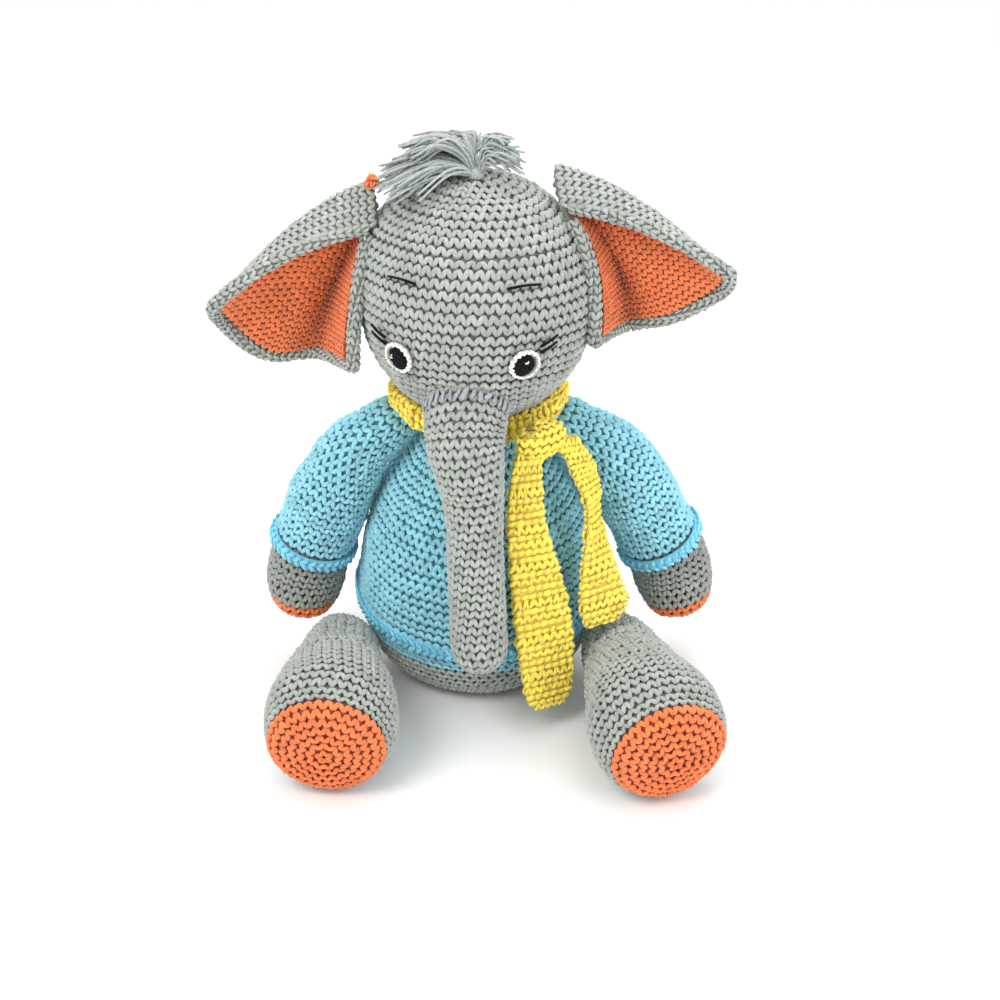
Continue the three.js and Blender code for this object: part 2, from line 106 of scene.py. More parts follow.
def linear(rgb):
    # Screen colour to light: ((c + 0.055) / 1.055) ^ 2.4
    return tuple(((np.array(rgb) / 255 + 0.055) / 1.055) ** 2.4) + (1.0,)


def node(tree, kind, inputs=None, **values):
    # A new node with its settings: each input is linked to a socket, or holds a plain value
    made = tree.nodes.new(kind)
    for key, value in values.items():
        setattr(made, key, value)
    for key, value in (inputs or {}).items():
        if isinstance(value, bpy.types.NodeSocket):
            tree.links.new(value, made.inputs[key])
        else:
            made.inputs[key].default_value = value
    return made


def maths(tree, operation, *inputs):
    return node(tree, "ShaderNodeMath", dict(enumerate(inputs)), operation=operation).outputs[0]


def yarnMaterial(name, rgb, twist=3.0, endShade=0.2, sheen=0.3):
    # A matt plied yarn: twisted plies along each stitch's leg, fuzz, and darker ends inside the holes,
    # painted shade for the holes' shadow
    paint = bpy.data.materials.new(name)
    paint.use_nodes = True
    tree = paint.node_tree
    body = tree.nodes["Principled BSDF"]
    body.inputs["Roughness"].default_value = 0.92
    body.inputs["Specular IOR Level"].default_value = 0.18
    body.inputs["Sheen Weight"].default_value = sheen
    body.inputs["Sheen Roughness"].default_value = 0.6
    ply = node(tree, "ShaderNodeUVMap", uv_map="ply")
    split = node(tree, "ShaderNodeSeparateXYZ", {0: ply.outputs["UV"]})
    # Height of the plies: sin(turn (2 round + twist along)), with fuzz added
    along = maths(tree, "MULTIPLY", split.outputs["X"], twist)
    winding = maths(tree, "MULTIPLY_ADD", split.outputs["Y"], 2.0, along)
    wave = maths(tree, "SINE", maths(tree, "MULTIPLY", winding, turn))
    place = node(tree, "ShaderNodeTexCoord").outputs["Object"]
    fuzz = node(tree, "ShaderNodeTexNoise", {"Vector": place, "Scale": 2600, "Detail": 2})
    height = maths(tree, "MULTIPLY_ADD", fuzz.outputs["Fac"], 0.8, wave)
    raised = node(tree, "ShaderNodeBump", {"Strength": 0.35, "Distance": 0.0005, "Height": height})
    tree.links.new(raised.outputs["Normal"], body.inputs["Normal"])
    # Brightness: the stitch's own tone, times a ramp of painted shade that darkens both ends of a leg where
    # it dips into the holes, times patchy dye
    tone = node(tree, "ShaderNodeAttribute", attribute_name="tone").outputs["Fac"]
    middle = maths(tree, "PINGPONG", split.outputs["X"], 0.5)
    endShadeRamp = node(tree, "ShaderNodeMapRange", {"Value": middle, "From Max": 0.3, "To Min": 1 - endShade})
    patch = node(tree, "ShaderNodeTexNoise", {"Vector": place, "Scale": 38})
    mild = node(tree, "ShaderNodeMapRange", {"Value": patch.outputs["Fac"], "To Min": 0.9, "To Max": 1.1})
    bright = maths(tree, "MULTIPLY", tone, endShadeRamp.outputs["Result"])
    bright = maths(tree, "MULTIPLY", bright, mild.outputs["Result"])
    colour = node(tree, "ShaderNodeVectorMath", {0: linear(rgb)[:3], "Scale": bright}, operation="SCALE")
    tree.links.new(colour.outputs[0], body.inputs["Base Color"])
    return paint


yarns = {
    "grey": yarnMaterial("grey_yarn", (166, 171, 164)),
    "hand": yarnMaterial("hand_yarn", (150, 153, 146)),
    "orange": yarnMaterial("orange_yarn", (234, 123, 64)),
    "blue": yarnMaterial("blue_yarn", (145, 208, 223)),
    "cuff": yarnMaterial("cuff_yarn", (122, 206, 232)),
    "yellow": yarnMaterial("yellow_yarn", (253, 228, 84), endShade=0.25),
    "white": yarnMaterial("white_yarn", (240, 238, 230)),
    "black": yarnMaterial("black_yarn", (9, 9, 12), sheen=0.03),
    "hair": yarnMaterial("hair_yarn", (166, 173, 171), twist=14, endShade=0.1),
    "seam": yarnMaterial("seam_yarn", (161, 168, 171)),
}
# The skins and sheets under the stitches are painted shade: each yarn's colour darkened to stand for the
# shadow in the holes between stitches
shadedUnderlay = {
    "grey": yarnMaterial("grey_underlay_shade", (120, 124, 117)),
    "hand": yarnMaterial("hand_underlay_shade", (80, 82, 80)),
    "orange": yarnMaterial("orange_underlay_shade", (172, 80, 46)),
    "blue": yarnMaterial("blue_underlay_shade", (84, 150, 166)),
    "cuff": yarnMaterial("cuff_underlay_shade", (66, 142, 164)),
    "yellow": yarnMaterial("yellow_underlay_shade", (238, 206, 84)),
    "white": yarnMaterial("white_underlay_shade", (180, 178, 170)),
    "black": yarnMaterial("black_underlay_shade", (6, 6, 8), sheen=0.02),
}
slots = {"grey": "grey_yarn", "hand": "grey_yarn", "orange": "orange_yarn", "blue": "blue_yarn",
         "cuff": "blue_yarn", "yellow": "yellow_yarn", "white": "white_yarn", "black": "black_yarn",
         "hair": "hair_yarn", "seam": "white_yarn"}


def unit(v):
    return v / np.maximum(np.linalg.norm(v, axis=-1, keepdims=True), 1e-9)


def curveThrough(points, count=240):
    # Centripetal Catmull-Rom: a Hermite cubic on each span, with knots spaced by distance ^ 0.5
    p = np.array(points, float)
    p = np.vstack([2 * p[0] - p[1], p, 2 * p[-1] - p[-2]])
    knots = np.sqrt(np.maximum(np.linalg.norm(np.diff(p, axis=0), axis=1), 1e-6))
    t = np.linspace(0, len(points) - 1 - 1e-9, count)
    i = t.astype(int)
    f = (t - i)[:, None]
    a, b, c, e = p[i], p[i + 1], p[i + 2], p[i + 3]
    d0, d1, d2 = (knots[i + k][:, None] for k in range(3))
    m1 = ((b - a) / d0 - (c - a) / (d0 + d1) + (c - b) / d1) * d1
    m2 = ((c - b) / d1 - (e - b) / (d1 + d2) + (e - c) / d2) * d1
    return ((2 * f**3 - 3 * f**2 + 1) * b + (f**3 - 2 * f**2 + f) * m1
            + (3 * f**2 - 2 * f**3) * c + (f**3 - f**2) * m2)


def closedCurve(points, count=72):
    # The same curve round a closed loop: three points are repeated at each end, and only the loop is kept
    n = len(points)
    padded = list(points[-3:]) + list(points) + list(points[:4])
    dense = curveThrough(padded, (n + 6) * 24 + 1)
    loop = dense[3 * 24:(3 + n) * 24 + 1]
    at = arcLength(loop)
    wanted = np.linspace(0, at[-1], count, endpoint=False)
    return np.stack([np.interp(wanted, at, loop[:, k]) for k in range(loop.shape[1])], axis=1)


def arcLength(points):
    return np.concatenate([[0], np.cumsum(np.linalg.norm(np.diff(points, axis=0), axis=1))])


def evenly(points, count):
    # Points respaced evenly by arc length
    at = arcLength(points)
    wanted = np.linspace(0, at[-1], count)
    return np.stack([np.interp(wanted, at, points[:, k]) for k in range(points.shape[1])], axis=1)


def route(points):
    path = evenly(curveThrough(points, 600), 600)
    at = arcLength(path)
    return {"path": path, "at": at, "along": unit(np.gradient(path, axis=0)), "length": at[-1]}


def station(curve, s):
    # Centre and direction at length s, straight on past both ends
    held = np.clip(s, 0, curve["length"])
    centre = np.stack([np.interp(held, curve["at"], curve["path"][:, k]) for k in range(3)], axis=1)
    along = unit(np.stack([np.interp(held, curve["at"], curve["along"][:, k]) for k in range(3)], axis=1))
    return centre + along * (s - held)[:, None], along


def swept(profile, curve, reference, around=96):
    # Rings of radius r at length s: centre + r (cos a right + sin a other)
    centre, along = station(curve, profile[:, 1])
    right = unit(reference - along * (along @ np.array(reference, float))[:, None])
    other = np.cross(along, right)
    a = np.linspace(0, turn, around, endpoint=False)[None, :, None]
    radius = profile[:, 0][:, None, None]
    return centre[:, None] + radius * (np.cos(a) * right[:, None] + np.sin(a) * other[:, None])


def gridNormals(grid, loop=True):
    down = np.gradient(grid, axis=0)
    if loop:
        across = np.roll(grid, -1, axis=1) - np.roll(grid, 1, axis=1)
    else:
        across = np.gradient(grid, axis=1)
    normal = np.cross(across, down)
    # A pole's rows have no width, so they take the mean of the row beside them
    for row, beside in ((0, 1), (-1, -2)):
        if np.linalg.norm(across[row], axis=1).max() < 1e-3:
            normal[row] = normal[beside].mean(axis=0)
    return unit(normal)


def sample(grid, u, v, loop=True):
    # Bilinear reading of a grid at fractional row u and column v
    rows, columns = grid.shape[:2]
    u = np.clip(u, 0, rows - 1 - 1e-6)
    i = u.astype(int)
    fu = (u - i)[:, None]
    if loop:
        v = np.mod(v, columns)
        j = v.astype(int) % columns
        k = (j + 1) % columns
    else:
        v = np.clip(v, 0, columns - 1 - 1e-6)
        j = v.astype(int)
        k = j + 1
    fv = (v - np.floor(v))[:, None]
    return ((grid[i, j] * (1 - fv) + grid[i, k] * fv) * (1 - fu)
            + (grid[i + 1, j] * (1 - fv) + grid[i + 1, k] * fv) * fu)


def makeObject(name, points, corners, sizes, material, ply=None, tone=None):
    # A mesh from whole arrays: points in millimetres, corner indices, and how many corners each face has.
    mesh = bpy.data.meshes.new(name)
    points = np.asarray(points, np.float32) * mm
    mesh.vertices.add(len(points))
    mesh.vertices.foreach_set("co", points.ravel())
    mesh.loops.add(len(corners))
    mesh.loops.foreach_set("vertex_index", np.asarray(corners, np.int32))
    mesh.polygons.add(len(sizes))
    starts = np.concatenate([[0], np.cumsum(sizes)[:-1]]).astype(np.int32)
    mesh.polygons.foreach_set("loop_start", starts)
    mesh.polygons.foreach_set("use_smooth", np.ones(len(sizes), bool))
    mesh.update(calc_edges=True)
    if ply is None:
        ply = np.full((len(corners), 2), 0.5)
    mesh.uv_layers.new(name="ply").data.foreach_set("uv", np.asarray(ply, np.float32).ravel())
    if tone is None:
        tone = np.ones(len(points))
    mesh.attributes.new("tone", "FLOAT", "POINT").data.foreach_set("value", np.asarray(tone, np.float32))
    mesh.materials.append(material)
    made = bpy.data.objects.new(name, mesh)
    scene.collection.objects.link(made)
    return made


def closedFaces(rows, columns, ends=True, loopRows=False):
    # Quads between rings, and a fan from a pole vertex at each end
    i = np.arange(rows if loopRows else rows - 1)[:, None]
    j = np.arange(columns)[None, :]
    up = (i + 1) % rows
    on = (j + 1) % columns
    around = (i * columns + j, i * columns + on, up * columns + on, up * columns + j)
    quads = np.stack(np.broadcast_arrays(*around), -1)
    corners = [quads.reshape(-1)]
    sizes = [np.full(quads.size // 4, 4)]
    if ends and not loopRows:
        j = np.arange(columns)
        on = (j + 1) % columns
        first = np.stack([np.full(columns, rows * columns), on, j], -1)
        top = (rows - 1) * columns
        last = np.stack([np.full(columns, rows * columns + 1), top + j, top + on], -1)
        corners += [first.reshape(-1), last.reshape(-1)]
        sizes += [np.full(2 * columns, 3)]
    return np.concatenate(corners), np.concatenate(sizes)


def fitted(body, slotName, *pieces):
    # Each piece rides the body
    for piece in pieces:
        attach(piece, body)


def bagObject(name, grid, material, loopRows=False):
    # A closed skin over a grid of rings: a fan from its middle closes each end,
    # or the last ring meets the first
    rows, columns = grid.shape[:2]
    corners, sizes = closedFaces(rows, columns, loopRows=loopRows)
    points = grid.reshape(-1, 3)
    if not loopRows:
        points = np.vstack([points, grid[0].mean(axis=0), grid[-1].mean(axis=0)])
    return makeObject(name, points, corners, sizes, material)


# A leg of a stitch is a plump bit of yarn: [across, up, out, thickness] along it, in shares of the stitch.
# Two legs make the V of a single crochet, and the holes are left between the feet of neighbouring V's.
legPath = np.array([
    [0.03, -0.55, -0.26, 0.0],
    [0.07, -0.43, -0.06, 0.82],
    [0.19, -0.14, 0.12, 1.0],
    [0.34, 0.14, 0.16, 1.0],
    [0.46, 0.33, 0.04, 0.86],
    [0.52, 0.46, -0.18, 0.0],
])
# A bump is the back of a stitch: one plump bit of yarn lying along the row
bumpPath = np.array([
    [-0.54, -0.16, -0.26, 0.0],
    [-0.38, -0.12, -0.04, 0.85],
    [-0.12, -0.03, 0.12, 1.0],
    [0.14, 0.05, 0.12, 1.0],
    [0.38, 0.12, -0.04, 0.85],
    [0.54, 0.18, -0.26, 0.0],
])
legSides = 5
legRadius = 0.262


def legTemplate(path, sides, radius):
    # Rings round each inner point of the path, square to the path, and a vertex at each end
    rings = len(path) - 2
    along = unit(np.gradient(path[:, :3], axis=0))[1:-1]
    out = unit(np.array([0, 0, 1.0]) - along * along[:, 2:3])
    side = np.cross(along, out)
    a = np.linspace(0, turn, sides, endpoint=False)[None, :, None]
    reach = (path[1:-1, 3] * radius)[:, None, None]
    grid = path[1:-1, None, :3] + reach * (np.cos(a) * out[:, None] + np.sin(a) * side[:, None] * -1)
    points = np.vstack([grid.reshape(-1, 3), path[0, :3], path[-1, :3]])
    corners, sizes = closedFaces(rings, sides)
    length = np.linspace(0, 1, len(path))
    ringU = np.concatenate([np.repeat(length[1:-1], sides), [0, 1]])
    ringV = np.concatenate([np.tile(np.arange(sides) / sides, rings), [0.5, 0.5]])
    ply = np.stack([ringU[corners], ringV[corners]], -1)
    # A face that crosses the seam counts its last corners as a whole turn on
    start = 0
    for size in sizes:
        face = ply[start:start + size, 1]
        if face.max() - face.min() > 0.6:
            face[face < 0.3] += 1
        start += size
    return points, corners, sizes, ply


def mirrored(template):
    # The other leg: x turned over, with each face's corners in reverse so that it still faces out
    points, corners, sizes, ply = template
    flipped = points * np.array([-1, 1, 1])
    order = []
    start = 0
    for size in sizes:
        order += list(range(start + size - 1, start - 1, -1))
        start += size
    return flipped, corners[order], sizes, ply[order]


def joined(first, second):
    # Two templates as one: the second's corners count on from the first's points
    points, corners, sizes, ply = second
    second = (points, corners + len(first[0]), sizes, ply)
    return tuple(np.concatenate(pair) for pair in zip(first, second))


rightLeg = legTemplate(legPath, legSides, legRadius)
vStitch = joined(rightLeg, mirrored(rightLeg))
bump = legTemplate(bumpPath, legSides, 0.42)


def quarterTurned(template):
    # The V laid on its side, so that a row of them makes a chain along an edge
    points, corners, sizes, ply = template
    return np.stack([-points[:, 1], points[:, 0], points[:, 2]], -1), corners, sizes, ply


chain = quarterTurned(vStitch)


def places(grid, rowPitch, stitchPitch, loop=True, drift=0.14, least=5, depth=None):
    # Where the stitches go: rows at even lengths up the grid, and in each row the whole number of stitches
    # nearest to its length over the pitch. Each row starts a little further round than the one below it.
    # Rows are spaced by the longest way up the grid, the outside of a bend
    spans = np.linalg.norm(np.diff(grid, axis=0), axis=2).max(axis=1)
    at = np.concatenate([[0], np.cumsum(spans)])
    rows = max(1, round(at[-1] / rowPitch))
    high = at[-1] / rows
    normals = gridNormals(grid, loop)
    parts = []
    levels = np.arange(len(at))
    columns = np.arange(grid.shape[1] + 1 if loop else grid.shape[1], dtype=float)
    for k in range(rows):
        u = float(np.interp((k + 0.5) * high, at, levels))
        reach = arcLength(sample(grid, np.full(len(columns), u), columns, loop))
        n = max(least, round(reach[-1] / stitchPitch))
        wanted = ((np.arange(n) + 0.5 + (drift * k if loop else 0)) % n) / n * reach[-1]
        v = np.interp(wanted, reach, columns)
        uu = np.full(n, u)
        centre = sample(grid, uu, v, loop)
        step = 0.6
        along = sample(grid, uu, v + step, loop) - sample(grid, uu, v - step, loop)
        out = unit(sample(normals, uu, v, loop))
        along = unit(along - out * (along * out).sum(axis=1, keepdims=True))
        up = np.cross(out, along)
        # Rows open out on the outside of a bend and close up on its inside, and each stitch's height follows
        near = np.clip(uu - 1, 0, len(at) - 1)
        far = np.clip(uu + 1, 0, len(at) - 1)
        local = np.linalg.norm(sample(grid, far, v, loop) - sample(grid, near, v, loop), axis=1)
        mean = np.interp(far, levels, at) - np.interp(near, levels, at)
        tall = high * np.clip(local / np.maximum(mean, 1e-6), 0.5, 1.2)
        size = np.stack([np.full(n, reach[-1] / n), tall, np.full(n, depth or stitchPitch)], -1)
        parts.append((centre, along, up, out, size, np.full(n, k)))
    return [np.concatenate([p[i] for p in parts]) for i in range(6)]


def stitchObject(name, spots, material, template=None, jitter=0.05, toneSpread=0.07, shadeTone=None):
    # The template set at every place: centre + x along + y up + z out, each times the stitch's own size.
    centre, along, up, out, size, row = spots
    points, corners, sizes, ply = template or vStitch
    n = len(centre)
    swing = random.normal(0, jitter, n)[:, None]
    along, up = along * np.cos(swing) + up * np.sin(swing), up * np.cos(swing) - along * np.sin(swing)
    grow = size * (1 + random.normal(0, jitter, (n, 3)))
    moved = centre + out * random.normal(0, 0.09, n)[:, None]
    x = points[None, :, 0:1] * grow[:, None, 0:1] * along[:, None]
    y = points[None, :, 1:2] * grow[:, None, 1:2] * up[:, None]
    z = points[None, :, 2:3] * grow[:, None, 2:3] * out[:, None]
    world = (moved[:, None] + x + y + z).reshape(-1, 3)
    # Yarn that meets the floor is pressed flat on it
    world[:, 2] = np.maximum(world[:, 2], 0.05)
    allCorners = (corners[None] + (np.arange(n) * len(points))[:, None]).reshape(-1)
    tone = 1 + random.normal(0, toneSpread, n).clip(-0.2, 0.2)
    # Painted shade, where given, darkens the stitch's tone
    if shadeTone is not None:
        tone = tone * shadeTone
    return makeObject(name, world, allCorners, np.tile(sizes, n), material, np.tile(ply, (n, 1)),
                      np.repeat(tone, len(points)))


# Stiffness and weight of the net that stands for a bag while air pressure rounds it out
clothSettings = {
    "quality": 6, "mass": 0.004, "tension_stiffness": 0.6,
    "compression_stiffness": 0.6, "shear_stiffness": 5, "bending_stiffness": 0.02,
    "use_pressure": True,
}


def puffed(name, grid, pinned, most=1.0, pressure=5.0):
    # The bag after cloth simulation: air pressure rounds it out between its sewn rows, which stay put.
    # The net's movement is capped at the given most and spread over the whole grid.
    rows, columns = grid.shape[:2]
    spans = np.linalg.norm(np.diff(grid, axis=0), axis=2).mean(axis=1)
    at = np.concatenate([[0], np.cumsum(spans)])
    coarseRows = max(6, int(round(at[-1] / 6)))
    u = np.interp(np.linspace(0, at[-1], coarseRows), at, np.arange(rows))
    coarseColumns = 32
    v = np.arange(coarseColumns) * columns / coarseColumns
    uu, vv = np.meshgrid(u, v, indexing="ij")
    net = sample(grid, uu.ravel(), vv.ravel()).reshape(coarseRows, coarseColumns, 3)
    bag = bagObject(name + "_net", net, yarns["grey"])
    group = bag.vertex_groups.new(name="sewn")
    held = [0, coarseRows - 1] + [int(round(p * (coarseRows - 1))) for p in pinned]
    members = [r * coarseColumns + c for r in held for c in range(coarseColumns)]
    members += [coarseRows * coarseColumns, coarseRows * coarseColumns + 1]
    group.add(members, 1.0, "REPLACE")
    cloth = bag.modifiers.new("cloth", "CLOTH")
    settings = cloth.settings
    for key, value in clothSettings.items():
        setattr(settings, key, value)
    settings.uniform_pressure_force = pressure
    settings.effector_weights.gravity = 0
    settings.vertex_group_mass = "sewn"
    cloth.collision_settings.use_collision = False
    cloth.point_cache.frame_start = 1
    cloth.point_cache.frame_end = 20
    for number in range(1, 21):
        scene.frame_set(number)
    depsgraph = bpy.context.evaluated_depsgraph_get()
    done = bag.evaluated_get(depsgraph).to_mesh()
    points = np.empty(len(done.vertices) * 3, np.float32)
    done.vertices.foreach_get("co", points)
    points = points.reshape(-1, 3)[:coarseRows * coarseColumns].reshape(net.shape) / mm
    bpy.data.objects.remove(bag)
    scene.frame_set(1)
    moved = points - net
    far = np.linalg.norm(moved, axis=2, keepdims=True)
    moved = moved * np.minimum(1, most / np.maximum(far, 1e-6))
    # The net's movement is spread over the fine grid, and each fine point keeps its own place otherwise
    back = np.interp(np.arange(rows), u, np.arange(coarseRows))
    across = np.arange(columns) * coarseColumns / columns
    bu, bv = np.meshgrid(back, across, indexing="ij")
    print("puffed", name, "by", round(float(np.median(far)), 2), "mm in the middle of the range,",
          round(float(np.percentile(far, 95)), 2), "mm for the furthest twentieth")
    return grid + sample(moved, bu.ravel(), bv.ravel()).reshape(rows, columns, 3)


def uneven(grid, amount=0.35, seed=0.0):
    # Hand-worked fabric is never even: a slow ripple of a few tenths of a millimetre along the normals
    p = grid / 17.0 + seed
    ripple = np.sin(p[..., 0] * 2.1 + p[..., 1] * 1.3) + np.sin(p[..., 1] * 2.7 - p[..., 2] * 1.7) + np.sin(
        p[..., 2] * 2.3 + p[..., 0] * 1.9)
    return grid + gridNormals(grid) * (ripple * amount / 2)[..., None]


stitchSize = {"row": 4.55, "across": 4.35, "sunk": 1.75, "below": 0.8}


def crocheted(name, grid, yarn, body, nodes, row=None, across=None, bend=None, pinned=(), puff=True,
              tone=None):
    # A stuffed crochet bag: a padded skin, a little under the bag's own surface, and its stitches on it. The
    # skin takes the yarn's darker painted-shade colour, for the shadow in the holes between stitches.
    row = row or stitchSize["row"]
    across = across or stitchSize["across"]
    if puff:
        grid = puffed(name, grid, pinned)
    grid = uneven(grid, seed=len(name))
    normals = gridNormals(grid)
    depth = min(across, 4.6)
    share = depth / 4.35
    inner = grid - normals * (stitchSize["sunk"] + stitchSize["below"]) * share
    skin = bagObject(name + "_skin", inner[::3, ::2], shadedUnderlay[yarn])
    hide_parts(*nodes)
    face = grid - normals * stitchSize["sunk"] * share
    spots = places(face, row, across, depth=depth)
    shadeTone = None if tone is None else tone(spots)
    stitches = stitchObject(name + "_stitches", spots, yarns[yarn], shadeTone=shadeTone)
    for made in (skin, stitches):
        if bend:
            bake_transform(made)
        else:
            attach(made, body)
    print(name, len(spots[0]), "stitches")
    return skin, stitches


body = {"lean": math.radians(8), "bow": 44, "belly": 56, "hem": 42, "neck": 143, "under": 33}
baseOutline = [[0.5, 0.9], [20, 0.9], [33, 1], [42.5, 4], [50, 12], [53.8, 21], [55, 26.5]]
bellyOutline = [
    [55.2, 27], [56.5, 33], [57.2, 50], [53.4, 76], [46.0, 98], [37, 114], [27, 128],
    [19.6, 138], [18.3, 143],
]


def rolledEdge(name, roll, face, yarn, body, nodes, width):
    # A rolled edge: a thin padded ring, and one row of V's laid on their sides round its outer face.
    normals = gridNormals(roll)
    skin = bagObject(name + "_skin", (roll - normals * 0.5)[:-1:2, ::2], yarns[yarn], loopRows=True)
    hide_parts(*nodes)
    spots = places(face, 100, 3.7, depth=2.7)
    spots[4][:, 1] = width * 0.78
    stitches = stitchObject(name + "_stitches", spots, yarns[yarn], chain, jitter=0.06)
    fitted(body, slots[yarn], skin, stitches)


def spined(profile, around=96):
    # Rings round the spine, an arc that leans forward over its first stretch and then runs straight
    r, s = profile[:, 0][:, None], profile[:, 1]
    rate = body["lean"] / body["bow"]
    angle = np.minimum(s, body["bow"]) * rate
    rest = np.maximum(s - body["bow"], 0)
    y = -(1 - np.cos(angle)) / rate - rest * np.sin(angle)
    z = np.sin(angle) / rate + rest * np.cos(angle)
    a = np.linspace(0, turn, around, endpoint=False)[None]
    return np.stack(np.broadcast_arrays(
        r * np.cos(a), y[:, None] + r * np.sin(a) * np.cos(angle)[:, None],
        z[:, None] + r * np.sin(a) * np.sin(angle)[:, None]), -1)


def makeBody():
    base = spined(evenly(curveThrough(baseOutline), 70))
    crocheted("body_base", base, "grey", "torso", ["body_base"], puff=False)
    upper = spined(evenly(curveThrough(bellyOutline), 130))
    crocheted("sweater", upper, "blue", "torso", ["sweater_body", "body_stuffing"], pinned=(0.08,), row=4.5)
    # The rolled hem: its rows lie round the roll, which stands proud of the belly
    a = np.linspace(0, turn, 41)
    roll = np.stack([body["belly"] - 0.6 + 1.9 * (1 - np.cos(a)), body["hem"] - 3.3 * np.sin(a)], -1)
    front = np.linspace(math.pi - 1.1, math.pi + 1.1, 9)
    face = np.stack([body["belly"] - 1.2 + 1.9 * (1 - np.cos(front)), body["hem"] - 3.3 * np.sin(front)], -1)
    rolledEdge("sweater_hem", spined(roll), spined(face), "cuff", "torso", ["sweater_hem"], 7.6)


head = {"centre": np.array((0, -30, 201.0)), "radius": 52.2, "high": 55.3, "hole": 17, "turn": -8, "tilt": -5,
        "fullAt": (-38, 2, 32), "push": 5.5, "reach": 26}


def headToWorld(points):
    # World = Rz(turn) Rx(tilt) local + centre
    a, b = math.radians(head["turn"]), math.radians(head["tilt"])
    rz = np.array([[math.cos(a), -math.sin(a), 0], [math.sin(a), math.cos(a), 0], [0, 0, 1]])
    rx = np.array([[1, 0, 0], [0, math.cos(b), -math.sin(b)], [0, math.sin(b), math.cos(b)]])
    return points @ (rz @ rx).T + head["centre"]


def onHead(longitude, latitude, above=0.0):
    a, b = np.radians(longitude), np.radians(latitude)
    r = (head["radius"] + above) * np.cos(b)
    z = (head["high"] + above) * np.sin(b)
    return np.stack(np.broadcast_arrays(r * np.sin(a), -r * np.cos(a), z), -1)


def makeHead():
    start = -math.acos(head["hole"] / head["radius"])
    b = np.linspace(start, math.pi / 2 - 0.002, 150)
    a = np.linspace(0, turn, 120, endpoint=False)[None] - math.pi / 2
    r = head["radius"] * np.cos(b)[:, None]
    z = (head["high"] * np.sin(b))[:, None]
    local = np.stack(np.broadcast_arrays(r * np.cos(a), r * np.sin(a), z), -1)
    # The filling stands out a little towards the root of the toy's right ear:
    # push * exp(-(distance / reach)^2), outwards from the spine of the head
    away = np.linalg.norm(local - np.array(head["fullAt"]), axis=-1, keepdims=True)
    outward = local * [1, 1, 0] / np.maximum(np.linalg.norm(local[..., :2], axis=-1, keepdims=True), 1)
    local = local + outward * head["push"] * np.exp(-((away / head["reach"]) ** 2)) * np.cos(b)[:, None, None]
    grid = headToWorld(local)
    crocheted("head", grid, "grey", "head", ["head_shell", "head_stuffing"], row=4.9, across=4.5)


def makeEye(name, side):
    where = onHead(31 * side, -15, 1.0)
    out = unit(onHead(31 * side, -15, 10.0) - onHead(31 * side, -15))
    # The shortest turn that takes +Z to the outward direction
    axis = np.cross([0, 0, 1.0], out)
    angle = math.acos(out[2])
    axis = axis / np.linalg.norm(axis)
    k = np.array([[0, -axis[2], axis[1]], [axis[2], 0, -axis[0]], [-axis[1], axis[0], 0]])
    turnTo = np.eye(3) + math.sin(angle) * k + (1 - math.cos(angle)) * k @ k

    def placed(points):
        return headToWorld(points @ turnTo.T + where)

    def lathe(profile, shift=(0, 0, 0), around=40):
        p = evenly(np.array(profile, float), 24)
        a = np.linspace(0, turn, around, endpoint=False)[None]
        r = p[:, 0][:, None]
        z = p[:, 1][:, None]
        return placed(np.stack(np.broadcast_arrays(r * np.cos(a), r * np.sin(a), z), -1) + shift)

    rimAngle = np.linspace(0, turn, 25)
    rim = np.stack([6.0 - 0.9 * np.cos(rimAngle), 0.7 - 1.1 * np.sin(rimAngle)], -1)
    rimSkin = bagObject(name + "_rim", lathe(rim)[:-1], shadedUnderlay["white"], loopRows=True)
    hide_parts(name + "_white")
    spots = places(lathe([[5.2, 1.0], [6.1, 1.4], [7.0, 0.6]])[::-1], 2.2, 2.5, least=14, depth=2.2)
    rimStitches = stitchObject(name + "_rim_stitches", spots, yarns["white"], jitter=0.1)
    # The disc is sewn on a little off the middle of its rim, down and towards the trunk's right
    aside = np.array([-0.5 * side - 0.2, -0.7, 0])
    dome = lathe([[0.05, 2.8], [2.0, 2.7], [4.0, 2.2], [5.1, 1.0], [5.1, -0.6]], aside)[::-1]
    pupil = bagObject(name + "_disc", dome, shadedUnderlay["black"])
    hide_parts(name + "_pupil")
    spots = places(dome[4:], 1.9, 1.9, least=4, depth=0.9)
    pupilStitches = stitchObject(name + "_disc_stitches", spots, yarns["black"])
    # The glint is one tiny white stitch, high on the side of the disc that faces the middle
    glintPath = [[-1.6, 1.2, 2.7], [-1.2, 1.9, 3.4], [-0.7, 2.5, 2.6]]
    glint = threadObject(name + "_stitch", [placed(np.array(glintPath))], 0.42, yarns["white"])
    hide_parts(name + "_glint")
    fitted("head", "white_yarn", rimSkin, rimStitches, glint)
    fitted("head", "black_yarn", pupil, pupilStitches)
    for which, rise in (("upper", 7.5), ("lower", 4.5)):
        start = onHead(side * 38.5, -15 + rise, 1.6)
        end = onHead(side * 46.0, -15 + rise + 4.6, 3.2)
        middle = (start + end) / 2 * 1.008
        path = headToWorld(np.array([start, middle, end]))
        lash = threadObject(f"{name}_{which}_lash", [path], 0.75, yarns["black"], 0.6)
        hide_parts(f"{name}_lash_{which}")
        fitted("head", "black_yarn", lash)


